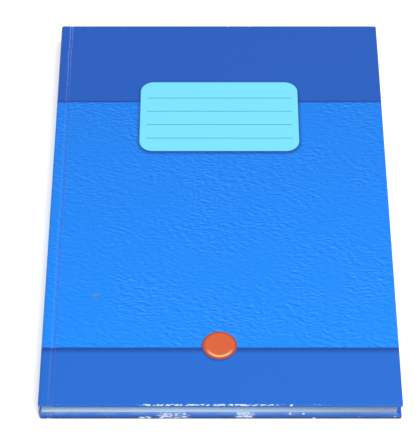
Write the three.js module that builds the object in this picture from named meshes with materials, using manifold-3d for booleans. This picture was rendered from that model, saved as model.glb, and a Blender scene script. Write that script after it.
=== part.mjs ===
// Case-bound exercise book lying on its back cover: sewn sections of ruled paper, held by a
// hollow-back case of two boards and a stiffened spine under one printed wrap.
// Millimetres, +Z up. X runs from the spine to the fore edge, Y from the tail to the head.
// The origin is the middle of the footprint, on the table.
import * as THREE from 'three';
import { mergeVertices } from 'three/addons/utils/BufferGeometryUtils.js';
import Module from 'manifold-3d';

const wasm = await Module();
wasm.setup();

// Overall size of the case
const coverWidth = 170;
const coverHeight = 250;

// Sheet materials
const boardThickness = 1.5;
const wrapThickness = 0.16;
const endpaperThickness = 0.12;
const leafThickness = 0.068;
const mullThickness = 0.15;
const linerThickness = 0.1;
const spineStripThickness = 0.6;
const threadThickness = 0.25;

// Make-up of the text block
const leafCount = 100;
const sectionCount = 10;
const turningFrontLeaves = 5;
const turningBackLeaves = 3;

// How far the covers stand proud of the leaves
const foreSquare = 2.2;
const headSquare = 2.5;

// Covers: rounded edges, turned-in margins and the paper pasted over them
const coverEdgeRadius = 0.6;
const coverCornerRadius = 0.8;
const turnInWidth = 15;
const pastedownMargin = 4;
const pastedownFillGap = 0.3;
const boardClearance = 0.03;

// Joint groove between the spine and each board
const hingeEdge = 7.1;
const grooveWidth = 2.8;
const grooveDepth = 0.8;
const openGap = 0.5;
const swingClearance = 0.12;
const shoulderRadius = 1.5;

// Spine, from the outer face inwards
const hollowDepth = 0.3;
const mullMargin = 10;
const mullEndGap = 0.3;
const linerMargin = 7;
const linerEdgeGap = 0.4;
const spineTongue = 14;

// Sewing: holes along the fold, and the runs of thread between them
const stitchCount = 3;
const stitchPitch = 52;
const stitchLength = 12;
const kettlePlace = 106;
const kettleTail = 3;
const threadClearance = 0.05;
const threadNest = 0.08;

// Air between leaves that turn
const leafGap = 0.02;

// Smoothness of round stretches
const arcSteps = 5;
const grooveSteps = 14;
const mergeTolerance = 0.0001;

// Depths below a cover's outer face
const boardOuter = wrapThickness;
const boardInner = boardOuter + boardThickness;
const turnInInner = boardInner + wrapThickness;
const coverInner = turnInInner + endpaperThickness;
const flyleafOuter = coverInner + leafGap;
const flyleafInner = flyleafOuter + endpaperThickness;
const foldOuter = flyleafInner - 2 * endpaperThickness;
const mullOuter = foldOuter - mullThickness;

// Leaves, counted from each flyleaf towards the middle of the book
const leafPitch = leafThickness + leafGap;
const leavesPerSection = leafCount / sectionCount;
const frontSewnDepth = flyleafInner + turningFrontLeaves * leafPitch + leafGap;
const backSewnDepth = flyleafInner + turningBackLeaves * leafPitch + leafGap;
const sewnLeaves = leafCount - turningFrontLeaves - turningBackLeaves;
const bookThickness = frontSewnDepth + sewnLeaves * leafThickness + backSewnDepth;

// A cover turns on an axis half way down its thickness, in the joint: opened flat it lies
// beside the spine, and what stays on the block keeps inside the circle that its edge sweeps
const hingeX = (hingeEdge - openGap) / 2;
const hingeDepth = coverInner / 2;
const swingRadius = hingeEdge - hingeX - swingClearance;
const jointEnd = hingeX + Math.sqrt(swingRadius ** 2 - (flyleafInner - hingeDepth) ** 2);

// Places across the spine
const stripInner = wrapThickness + spineStripThickness;
const linerOuter = stripInner + hollowDepth;
const mullSpine = linerOuter + linerThickness;
const threadOuter = mullSpine + mullThickness;
const threadOutside = threadOuter + threadThickness / 2;
const blockSpine = threadOuter + threadThickness + 2 * threadClearance;
const sectionDepth = leavesPerSection * leafThickness / 2;
const threadInside = blockSpine + sectionDepth + threadNest + threadThickness / 2;

// Outline of the leaves
const leafFore = coverWidth - foreSquare;
const leafHead = coverHeight / 2 - headSquare;
const caseHead = coverHeight / 2;

// The two sides of the book: where a depth below the outer face lies above the table
const front = { name: 'front', height: (depth) => bookThickness - depth };
const back = { name: 'back', height: (depth) => depth };

const colours = {
  wrap: { color: 0x2a80f4, roughness: 0.28, metalness: 0 },
  board: { color: 0x9a948a, roughness: 0.9, metalness: 0 },
  endpaper: { color: 0xf2f1ea, roughness: 0.85, metalness: 0 },
  leaf: { color: 0xeef2f4, roughness: 0.85, metalness: 0 },
  mull: { color: 0xe3ddcb, roughness: 0.95, metalness: 0 },
  liner: { color: 0xb98f5e, roughness: 0.9, metalness: 0 },
  thread: { color: 0xf4f1e6, roughness: 0.8, metalness: 0 },
};

// Closed mesh of a three.js shape as a solid that can be cut and joined
function toSolid(geometry) {
  geometry.deleteAttribute('normal');
  geometry.deleteAttribute('uv');
  const merged = mergeVertices(geometry, mergeTolerance);
  const mesh = new wasm.Mesh({
    numProp: 3,
    vertProperties: new Float32Array(merged.attributes.position.array),
    triVerts: new Uint32Array(merged.index.array),
  });
  return new wasm.Manifold(mesh);
}

function toGeometry(solid) {
  const mesh = solid.getMesh();
  const geometry = new THREE.BufferGeometry();
  geometry.setAttribute('position', new THREE.BufferAttribute(mesh.vertProperties, 3));
  geometry.setIndex(new THREE.BufferAttribute(mesh.triVerts, 1));
  geometry.computeVertexNormals();
  return geometry;
}

function boxGeometry([x0, x1], [y0, y1], [z0, z1]) {
  const geometry = new THREE.BoxGeometry(x1 - x0, y1 - y0, z1 - z0);
  return geometry.translate((x0 + x1) / 2, (y0 + y1) / 2, (z0 + z1) / 2);
}

// Extrusions of a flat outline: along Z from a plan, along Y and X from a cross-section
function extrudeUp(shape, [z0, z1]) {
  const settings = { depth: z1 - z0, bevelEnabled: false, curveSegments: arcSteps };
  return new THREE.ExtrudeGeometry(shape, settings).translate(0, 0, z0);
}

function extrudeAlongY(shape, [y0, y1]) {
  const settings = { depth: y1 - y0, bevelEnabled: false, curveSegments: arcSteps };
  const turn = new THREE.Matrix4().makeBasis(
    new THREE.Vector3(1, 0, 0),
    new THREE.Vector3(0, 0, 1),
    new THREE.Vector3(0, -1, 0),
  );
  return new THREE.ExtrudeGeometry(shape, settings).applyMatrix4(turn).translate(0, y1, 0);
}

function extrudeAlongX(shape, [x0, x1]) {
  const settings = { depth: x1 - x0, bevelEnabled: false, curveSegments: arcSteps };
  const turn = new THREE.Matrix4().makeBasis(
    new THREE.Vector3(0, 1, 0),
    new THREE.Vector3(0, 0, 1),
    new THREE.Vector3(1, 0, 0),
  );
  return new THREE.ExtrudeGeometry(shape, settings).applyMatrix4(turn).translate(x0, 0, 0);
}

function roundedRectangle([u0, u1], [v0, v1], radius) {
  const quarter = Math.PI / 2;
  const shape = new THREE.Shape();
  shape.absarc(u1 - radius, v0 + radius, radius, -quarter, 0);
  shape.absarc(u1 - radius, v1 - radius, radius, 0, quarter);
  shape.absarc(u0 + radius, v1 - radius, radius, quarter, 2 * quarter);
  shape.absarc(u0 + radius, v0 + radius, radius, 2 * quarter, 3 * quarter);
  return shape;
}

// Slab with softened long edges and small round corners in plan, as a wrapped board has
function roundedSlab(x, y, z, edgeRadius, cornerRadius) {
  const alongY = toSolid(extrudeAlongY(roundedRectangle(x, z, edgeRadius), y));
  const alongX = toSolid(extrudeAlongX(roundedRectangle(y, z, edgeRadius), x));
  const plan = toSolid(extrudeUp(roundedRectangle(x, y, cornerRadius), z));
  return alongY.intersect(alongX).intersect(plan);
}

// Heights between two depths on one side of the book, low one first
function span(side, depthA, depthB) {
  return [side.height(depthA), side.height(depthB)].sort((a, b) => a - b);
}

function named(name, geometry, finish) {
  const mesh = new THREE.Mesh(geometry, new THREE.MeshStandardMaterial(colours[finish]));
  mesh.name = name;
  return mesh;
}

// Greyboard of one cover
function coverBoard(side) {
  const inset = wrapThickness + boardClearance;
  const board = roundedSlab(
    [hingeEdge + inset, coverWidth - inset],
    [-caseHead + inset, caseHead - inset],
    span(side, boardOuter, boardInner),
    coverEdgeRadius - wrapThickness,
    coverCornerRadius - wrapThickness,
  );
  return named(`${side.name}_board`, toGeometry(board), 'board');
}

// Printed wrap of one cover: over the board, round its edges and turned in on three sides
function coverWrap(side) {
  const skin = roundedSlab(
    [hingeEdge, coverWidth],
    [-caseHead, caseHead],
    span(side, 0, turnInInner),
    coverEdgeRadius,
    coverCornerRadius,
  );
  const boardRoom = roundedSlab(
    [hingeEdge + wrapThickness, coverWidth - wrapThickness],
    [-caseHead + wrapThickness, caseHead - wrapThickness],
    span(side, boardOuter, boardInner),
    coverEdgeRadius - wrapThickness,
    coverCornerRadius - wrapThickness,
  );
  const window = toSolid(boxGeometry(
    [hingeEdge - wrapThickness, coverWidth - turnInWidth],
    [-caseHead + turnInWidth, caseHead - turnInWidth],
    span(side, boardInner, turnInInner + wrapThickness),
  ));
  const wrap = skin.subtract(boardRoom).subtract(window);
  return named(`${side.name}_cover_wrap`, toGeometry(wrap), 'wrap');
}

// Pasted half of an endpaper: over the turned-in margins, and down onto the bare board
function pastedown(side) {
  const foreEdge = coverWidth - pastedownMargin;
  const headEdge = caseHead - pastedownMargin;
  const sheet = toSolid(boxGeometry(
    [hingeEdge, foreEdge],
    [-headEdge, headEdge],
    span(side, turnInInner, coverInner),
  ));
  const fillHead = caseHead - turnInWidth - pastedownFillGap;
  const fill = toSolid(boxGeometry(
    [hingeEdge + wrapThickness, coverWidth - turnInWidth - pastedownFillGap],
    [-fillHead, fillHead],
    span(side, boardInner, coverInner),
  ));
  return named(`${side.name}_pastedown`, toGeometry(sheet.add(fill)), 'endpaper');
}

// A single leaf from the joint to the fore edge
function leaf(name, heights, finish) {
  return named(name, boxGeometry([hingeEdge, leafFore], [-leafHead, leafHead], heights), finish);
}

function flyleaf(side) {
  return leaf(`${side.name}_flyleaf`, span(side, flyleafOuter, flyleafInner), 'endpaper');
}

// Loose leaves of one side, outermost first, numbered from the front of the book
function turningLeaves(side, count, numberOf) {
  return Array.from({ length: count }, (_, index) => {
    const outer = flyleafInner + leafGap + index * leafPitch;
    const number = String(numberOf(index)).padStart(3, '0');
    return leaf(`leaf_${number}`, span(side, outer, outer + leafThickness), 'leaf');
  });
}

// Cross-section of folded sheets: a round fold at the spine, and a step where leaves were let go
function foldedOutline(fold, slab, foldX, stepX, foreX) {
  const radius = (fold[1] - fold[0]) / 2;
  const middle = (fold[0] + fold[1]) / 2;
  const points = [[foreX, slab[0]], [foreX, slab[1]]];
  if (slab[1] < fold[1]) {
    points.push([stepX, slab[1]], [stepX, fold[1]]);
  }
  for (let step = 0; step <= 2 * arcSteps; step += 1) {
    const angle = Math.PI / 2 + (Math.PI * step) / (2 * arcSteps);
    points.push([
      foldX + radius + radius * Math.cos(angle),
      middle + radius * Math.sin(angle),
    ]);
  }
  if (slab[0] > fold[0]) {
    points.push([stepX, fold[0]], [stepX, slab[0]]);
  }
  return new THREE.Shape(points.map(([x, z]) => new THREE.Vector2(x, z)));
}

// Heights of every sewn section: its slab of leaves, and its fold with all of its leaves
function sectionHeights() {
  const heights = [];
  let top = front.height(frontSewnDepth);
  for (let index = 0; index < sectionCount; index += 1) {
    const first = index === 0;
    const last = index === sectionCount - 1;
    const released = (first ? turningFrontLeaves : 0) + (last ? turningBackLeaves : 0);
    const bottom = top - (leavesPerSection - released) * leafThickness;
    const foldTop = first ? front.height(flyleafInner) : top;
    const foldBottom = last ? back.height(flyleafInner) : bottom;
    heights.push({ slab: [bottom, top], fold: [foldBottom, foldTop] });
    top = bottom;
  }
  return heights;
}

// Points of one section's thread, seen from above: in and out of the fold along the spine
function threadRoute() {
  const route = [[threadOutside, -kettlePlace - kettleTail], [threadOutside, -kettlePlace]];
  route.push([threadInside, -kettlePlace]);
  for (let index = 0; index < stitchCount; index += 1) {
    const middle = (index - (stitchCount - 1) / 2) * stitchPitch;
    const start = middle - stitchLength / 2;
    const end = middle + stitchLength / 2;
    route.push([threadInside, start], [threadOutside, start]);
    route.push([threadOutside, end], [threadInside, end]);
  }
  route.push([threadInside, kettlePlace], [threadOutside, kettlePlace]);
  route.push([threadOutside, kettlePlace + kettleTail]);
  return route.map(([x, y]) => new THREE.Vector2(x, y));
}

// Outline of a band that follows a square-cornered route at a given half width
function bandOutline(route, halfWidth) {
  const sideOf = (from, to) => {
    const along = to.clone().sub(from).normalize();
    return new THREE.Vector2(-along.y, along.x).multiplyScalar(halfWidth);
  };
  const offsets = route.map((point, index) => {
    const before = index > 0 ? sideOf(route[index - 1], point) : null;
    const after = index < route.length - 1 ? sideOf(point, route[index + 1]) : null;
    if (before && after) {
      return before.clone().add(after);
    }
    return before ?? after;
  });
  const left = route.map((point, index) => point.clone().add(offsets[index]));
  const right = route.map((point, index) => point.clone().sub(offsets[index]));
  return new THREE.Shape([...right, ...left.reverse()]);
}

// Thread of one section, or with a clearance the channel that it runs in
function threadBand(fold, clearance) {
  const middle = (fold[0] + fold[1]) / 2;
  const half = threadThickness / 2 + clearance;
  return toSolid(extrudeUp(bandOutline(threadRoute(), half), [middle - half, middle + half]));
}

// One continuous thread: a band in every fold, joined by kettle stitches at alternate ends
function sewingThread(heights) {
  let thread = threadBand(heights[0].fold, 0);
  for (let index = 1; index < heights.length; index += 1) {
    const end = index % 2 === 0 ? -1 : 1;
    const place = end * (kettlePlace + kettleTail - threadThickness / 2);
    const middles = [heights[index], heights[index - 1]].map(({ fold }) => (fold[0] + fold[1]) / 2);
    const link = toSolid(boxGeometry(
      [threadOutside - threadThickness / 2, threadOutside + threadThickness / 2],
      [place - threadThickness / 2, place + threadThickness / 2],
      middles,
    ));
    thread = thread.add(threadBand(heights[index].fold, 0)).add(link);
  }
  return named('sewing_thread', toGeometry(thread), 'thread');
}

// Folded sheets of one section, with the holes and the channel for its thread
function section(index, { slab, fold }) {
  const outline = foldedOutline(fold, slab, blockSpine, jointEnd, leafFore);
  const sheets = toSolid(extrudeAlongY(outline, [-leafHead, leafHead]));
  const sewn = sheets.subtract(threadBand(fold, threadClearance));
  const number = String(index + 1).padStart(2, '0');
  return named(`section_${number}`, toGeometry(sewn), 'leaf');
}

// Fold of an endpaper, tipped onto its outer section under the joint
function endpaperFold(side) {
  const heights = span(side, foldOuter, flyleafInner);
  const outline = foldedOutline(heights, heights, blockSpine, jointEnd, jointEnd);
  const strip = extrudeAlongY(outline, [-leafHead, leafHead]);
  return named(`${side.name}_endpaper_fold`, strip, 'endpaper');
}

// Half of the case's contour at the spine, from the joint to the middle of the spine.
// The inset follows the inner face of the wrap.
function spineContour(inset) {
  const points = [];
  const grooveStart = hingeEdge - grooveWidth;
  for (let step = 0; step <= grooveSteps; step += 1) {
    const x = jointEnd + (grooveStart - jointEnd) * (step / grooveSteps);
    const turn = (2 * Math.PI * (x - grooveStart)) / grooveWidth;
    points.push([x, (grooveDepth * (1 - Math.cos(turn))) / 2 + inset]);
  }
  for (let step = 0; step <= arcSteps; step += 1) {
    const angle = (Math.PI / 2) * (step / arcSteps);
    const radius = shoulderRadius - inset;
    points.push([
      shoulderRadius - radius * Math.sin(angle),
      shoulderRadius - radius * Math.cos(angle),
    ]);
  }
  return points;
}

// Printed wrap over the spine, from joint to joint, with its ends turned in over the spine strip
function spineWrap() {
  const wholeContour = (inset) => {
    const half = spineContour(inset);
    const upper = half.map(([x, depth]) => new THREE.Vector2(x, front.height(depth)));
    const lower = half.map(([x, depth]) => new THREE.Vector2(x, back.height(depth)));
    return [...upper, ...lower.reverse()];
  };
  const outline = new THREE.Shape([...wholeContour(0), ...wholeContour(wrapThickness).reverse()]);
  const flat = span(front, shoulderRadius, bookThickness - shoulderRadius);
  let wrap = toSolid(extrudeAlongY(outline, [-caseHead, caseHead]));
  for (const end of [-1, 1]) {
    const places = (inner) => [end * inner, end * caseHead].sort((a, b) => a - b);
    const fold = boxGeometry(
      [wrapThickness / 2, stripInner + wrapThickness],
      places(caseHead - wrapThickness),
      flat,
    );
    const tongue = boxGeometry(
      [stripInner, stripInner + wrapThickness],
      places(caseHead - spineTongue),
      flat,
    );
    wrap = wrap.add(toSolid(fold)).add(toSolid(tongue));
  }
  return named('spine_wrap', toGeometry(wrap), 'wrap');
}

// Card strip that stiffens the spine
function spineStrip() {
  const reach = caseHead - wrapThickness - boardClearance;
  const strip = boxGeometry(
    [wrapThickness, stripInner],
    [-reach, reach],
    span(front, shoulderRadius, bookThickness - shoulderRadius),
  );
  return named('spine_strip', strip, 'board');
}

// Open-weave cloth glued round the back of the block, with a flap into each joint
function mull() {
  const flapEnd = jointEnd - mullEndGap;
  const outer = [front.height(mullOuter), back.height(mullOuter)];
  const inner = [front.height(foldOuter), back.height(foldOuter)];
  const outline = new THREE.Shape([
    new THREE.Vector2(flapEnd, outer[0]),
    new THREE.Vector2(mullSpine, outer[0]),
    new THREE.Vector2(mullSpine, outer[1]),
    new THREE.Vector2(flapEnd, outer[1]),
    new THREE.Vector2(flapEnd, inner[1]),
    new THREE.Vector2(threadOuter, inner[1]),
    new THREE.Vector2(threadOuter, inner[0]),
    new THREE.Vector2(flapEnd, inner[0]),
  ]);
  const reach = leafHead - mullMargin;
  return named('mull', extrudeAlongY(outline, [-reach, reach]), 'mull');
}

// Kraft paper lining over the mull, on the inner side of the hollow back
function kraftLiner() {
  const reach = leafHead - linerMargin;
  const liner = boxGeometry(
    [linerOuter, mullSpine],
    [-reach, reach],
    span(front, mullOuter + linerEdgeGap, bookThickness - mullOuter - linerEdgeGap),
  );
  return named('kraft_liner', liner, 'liner');
}

function groupOf(...pieces) {
  const group = new THREE.Group();
  group.add(...pieces);
  return group;
}

// Group that turns on the axis of one cover's joint
function hinged(side, ...pieces) {
  const contents = groupOf(...pieces);
  contents.position.set(-hingeX, 0, -side.height(hingeDepth));
  const pivot = groupOf(contents);
  pivot.position.set(hingeX, 0, side.height(hingeDepth));
  return pivot;
}

function cover(side) {
  return hinged(side, coverBoard(side), coverWrap(side), pastedown(side));
}

function textBlock() {
  const heights = sectionHeights();
  return groupOf(
    ...heights.map((places, index) => section(index, places)),
    sewingThread(heights),
    endpaperFold(front),
    endpaperFold(back),
    mull(),
    kraftLiner(),
  );
}

const book = groupOf(
  cover(front),
  cover(back),
  groupOf(spineWrap(), spineStrip()),
  textBlock(),
  ...[flyleaf(front), ...turningLeaves(front, turningFrontLeaves, (index) => index + 1)]
    .map((sheet) => hinged(front, sheet)),
  ...[flyleaf(back), ...turningLeaves(back, turningBackLeaves, (index) => leafCount - index)]
    .map((sheet) => hinged(back, sheet)),
);
book.position.x = -coverWidth / 2;

export default book;
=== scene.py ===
"""Thick hardback exercise book, lying closed on its back cover.

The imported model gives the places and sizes. Here the case becomes printed sheets that are
folded over the boards, and the block becomes single sheets of paper.
"""

import logging
import math
from dataclasses import dataclass
from enum import Enum
from functools import cached_property
from typing import NamedTuple

import bmesh
import bpy
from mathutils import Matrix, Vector, noise


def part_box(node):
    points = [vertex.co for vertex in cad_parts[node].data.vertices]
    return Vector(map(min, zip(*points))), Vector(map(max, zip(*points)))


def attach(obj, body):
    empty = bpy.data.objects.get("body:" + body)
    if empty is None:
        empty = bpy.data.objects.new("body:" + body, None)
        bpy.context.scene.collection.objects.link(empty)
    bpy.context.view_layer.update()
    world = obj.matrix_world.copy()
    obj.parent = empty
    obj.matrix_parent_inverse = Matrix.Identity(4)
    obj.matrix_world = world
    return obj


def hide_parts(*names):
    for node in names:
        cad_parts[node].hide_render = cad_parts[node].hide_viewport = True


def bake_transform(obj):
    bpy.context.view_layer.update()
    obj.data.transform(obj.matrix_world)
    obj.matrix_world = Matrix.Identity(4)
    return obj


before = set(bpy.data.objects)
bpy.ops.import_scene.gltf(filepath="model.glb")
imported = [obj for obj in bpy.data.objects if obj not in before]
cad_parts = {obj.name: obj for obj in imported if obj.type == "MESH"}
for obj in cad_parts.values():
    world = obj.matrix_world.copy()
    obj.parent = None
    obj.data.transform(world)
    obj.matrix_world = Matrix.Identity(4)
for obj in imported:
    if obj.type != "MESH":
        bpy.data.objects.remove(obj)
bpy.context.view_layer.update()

MM = 0.001
QUARTER_TURN = math.pi / 2
LOG = logging.getLogger("exercise_book")
SHEET_MAP = "Sheet"
# A Mix of colours has its two colours at inputs 6 and 7, and its result at output 2
UNDER, OVER, MIXED = 6, 7, 2

Material = bpy.types.Material
Mesh = bmesh.types.BMesh
Piece = bpy.types.Object
Socket = bpy.types.NodeSocket
Vert = bmesh.types.BMVert
Pair = tuple[float, float]
Triple = tuple[float, float, float]
Coat = tuple[Socket | float, Socket | str]


class Side(Enum):
    """The two covers, with all that belongs to each."""

    FRONT = "front"
    BACK = "back"


@dataclass(frozen=True)
class BookSizes:
    """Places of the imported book, in millimetres, with x counted from the spine's outer face.

    Depths count inwards from a cover's outer face.
    """

    spine: float
    fore: float
    head: float
    thickness: float
    board_edge: float
    cover_skin_depth: float
    pastedown_fore: float
    pastedown_head: float
    flyleaf_depth: float
    endpaper: float
    leaf: float
    leaf_fore: float
    leaf_head: float
    block_spine: float
    strip_inner: float
    turn_in: float = 15.0

    def z_of(self, side: Side, depth: float) -> float:
        """Height above the table of a depth below one cover's outer face."""
        return self.thickness - depth if side is Side.FRONT else depth

    def at(self, across: float) -> Triple:
        """Place in metres of a line along the joint, by its distance from the spine."""
        return ((self.spine + across) * MM, 0, 0)


def read_sizes() -> BookSizes:
    """Reads the book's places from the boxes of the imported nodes.

    Returns:
        The sizes in millimetres.
    """
    spine_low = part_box("spine_wrap")[0] / MM
    cover_low, cover_high = (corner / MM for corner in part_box("front_cover_wrap"))
    paste_low, paste_high = (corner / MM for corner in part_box("front_pastedown"))
    flyleaf_low, flyleaf_high = (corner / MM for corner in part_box("front_flyleaf"))
    leaf_low, leaf_high = (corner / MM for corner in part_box("leaf_001"))
    strip_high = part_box("spine_strip")[1] / MM
    section_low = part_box("section_05")[0] / MM
    return BookSizes(
        spine=spine_low.x,
        fore=cover_high.x - spine_low.x,
        head=cover_high.y,
        thickness=cover_high.z,
        board_edge=cover_low.x - spine_low.x,
        cover_skin_depth=cover_high.z - cover_low.z,
        pastedown_fore=paste_high.x - spine_low.x,
        pastedown_head=paste_high.y,
        flyleaf_depth=cover_high.z - flyleaf_high.z,
        endpaper=flyleaf_high.z - flyleaf_low.z,
        leaf=leaf_high.z - leaf_low.z,
        leaf_fore=leaf_high.x - spine_low.x,
        leaf_head=leaf_high.y,
        block_spine=section_low.x - spine_low.x,
        strip_inner=strip_high.x - spine_low.x,
    )


def linear(code: str) -> tuple[float, float, float, float]:
    """Turns an sRGB hex colour into linear light.

    Args:
        code: Six hex digits.

    Returns:
        Red, green, blue and a full alpha.
    """
    channels = [int(code[index:index + 2], 16) / 255 for index in (0, 2, 4)]
    lit = [c / 12.92 if c <= 0.04045 else ((c + 0.055) / 1.055) ** 2.4 for c in channels]
    return (lit[0], lit[1], lit[2], 1.0)


@dataclass(frozen=True)
class Ramp:
    """A rise from low, at start, to high, at end."""

    start: float
    end: float
    low: float = 0.0
    high: float = 1.0

    def of(self, value: Socket) -> dict[str, Socket | float]:
        """Inputs of a Map Range node that reads the value."""
        return {"Value": value, "From Min": self.start, "From Max": self.end,
                "To Min": self.low, "To Max": self.high}


class Spread(Enum):
    """How random patches spread: along a line, over a sheet or through a solid."""

    LINE = "1D"
    SHEET = "2D"
    SOLID = "3D"


@dataclass(frozen=True)
class Cloud:
    """Soft random patches: noise of a scale and detail, and the ramp that reads it."""

    scale: float
    detail: float
    ramp: Ramp
    roughness: float = 0.5
    spread: Spread = Spread.SHEET


class NodeWork:
    """The nodes of a material, or of the world, while they are put together."""

    name: str
    is_mapped: bool = True

    @cached_property
    def owner(self) -> Material:
        """The new material."""
        return bpy.data.materials.new(self.name)

    @cached_property
    def tree(self) -> bpy.types.NodeTree:
        """The nodes themselves.

        Returns:
            The owner's node tree, emptied.
        """
        self.owner.use_nodes = True
        self.owner.node_tree.nodes.clear()
        return self.owner.node_tree

    @cached_property
    def place(self) -> Socket:
        """Place that the patterns follow.

        Returns:
            Millimetres on the flat sheet, or else metres in the book's frame.
        """
        if self.is_mapped:
            return self.add("UVMap", uv_map=SHEET_MAP)
        return self.add("TexCoord", output="Object")

    @cached_property
    def across(self) -> Socket:
        """How far across the place lies, on a sheet counted from the spine's outer face."""
        return self.add("SeparateXYZ", {0: self.place})

    @cached_property
    def up(self) -> Socket:
        """How far up the place lies, on a sheet counted from the tail edge."""
        return self.across.node.outputs["Y"]

    def add(
        self, kind: str, inputs: dict | None = None, output: int | str = 0, **settings: object
    ) -> Socket:
        """Adds a node with its settings, values and links.

        Args:
            kind: The node's type name without the ShaderNode in front.
            inputs: Values or sockets by the name or index of the input.
            output: Name or index of the output to give back.
            settings: The node's options.

        Returns:
            The chosen output socket.
        """
        node = self.tree.nodes.new(f"ShaderNode{kind}")
        for option, value in settings.items():
            setattr(node, option, value)
        for key, value in (inputs or {}).items():
            if isinstance(value, Socket):
                self.tree.links.new(value, node.inputs[key])
            else:
                node.inputs[key].default_value = value
        return node.outputs[output]

    def stripe(self, place: Socket, middle: float, ramp: Ramp, **settings: object) -> Socket:
        """Makes a stripe along a line.

        Args:
            place: Place across the line.
            middle: Where the line lies.
            ramp: How the stripe rises towards the line, by the distance from it.
            settings: Options of the ramp.

        Returns:
            The stripe's share.
        """
        away = self.add("Math", {0: place, 1: middle}, operation="SUBTRACT")
        away = self.add("Math", {0: away}, operation="ABSOLUTE")
        return self.add("MapRange", ramp.of(away), **settings)

    def cloudy(self, place: Socket, cloud: Cloud) -> Socket:
        """Makes soft random patches.

        Args:
            place: Place on the surface.
            cloud: The patches' look.

        Returns:
            The value that the cloud's ramp gives.
        """
        source = "W" if cloud.spread is Spread.LINE else "Vector"
        patches = self.add(
            "TexNoise",
            {source: place, "Scale": cloud.scale, "Detail": cloud.detail, "Roughness": cloud.roughness},
            noise_dimensions=cloud.spread.value,
        )
        return self.add("MapRange", cloud.ramp.of(patches))

    def end(self, surface: Socket, kind: str = "OutputMaterial") -> None:
        """Links a finished shader to an output node of the given kind."""
        output = self.tree.nodes.new(f"ShaderNode{kind}")
        self.tree.links.new(surface, output.inputs["Surface"])

    def finish(
        self,
        ground: Socket | str,
        coats: list[Coat],
        inputs: dict[str, Socket | float],
        relief: tuple[Socket, float, float] | None = None,
    ) -> Material:
        """Lays coats of colour over a ground, adds the surface and ends the material.

        Args:
            ground: The colour below, as a socket or a hex code.
            coats: Share and colour of each coat, each over the one before.
            inputs: The surface's other values and sockets by name.
            relief: Height, strength and depth in millimetres of a fine relief.

        Returns:
            The material.
        """
        colour = linear(ground) if isinstance(ground, str) else ground
        for share, coat in coats:
            above = linear(coat) if isinstance(coat, str) else coat
            colour = self.add("Mix", {0: share, UNDER: colour, OVER: above}, output=MIXED,
                              data_type="RGBA")
        inputs = inputs | {"Base Color": colour}
        if relief:
            height, strength, depth = relief
            bump = self.add("Bump", {"Height": height, "Strength": strength, "Distance": depth * MM})
            inputs = inputs | {"Normal": bump}
        self.end(self.add("BsdfPrincipled", inputs))
        return self.owner


@dataclass(frozen=True)
class GlintAndWearStretch:
    """A stretch of the tail edge with worn-through film and painted glints, in millimetres.

    Depth counts round the edge from the end of the cover's face.
    """

    start: float
    end: float
    depth: float
    reach: float


@dataclass(frozen=True)
class PrintedBand:
    """A dark band of the print, from its edge the given way, with a shadow line that fades."""

    edge: float
    way: float
    fade: Pair
    shadow: str
    ink: str


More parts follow.
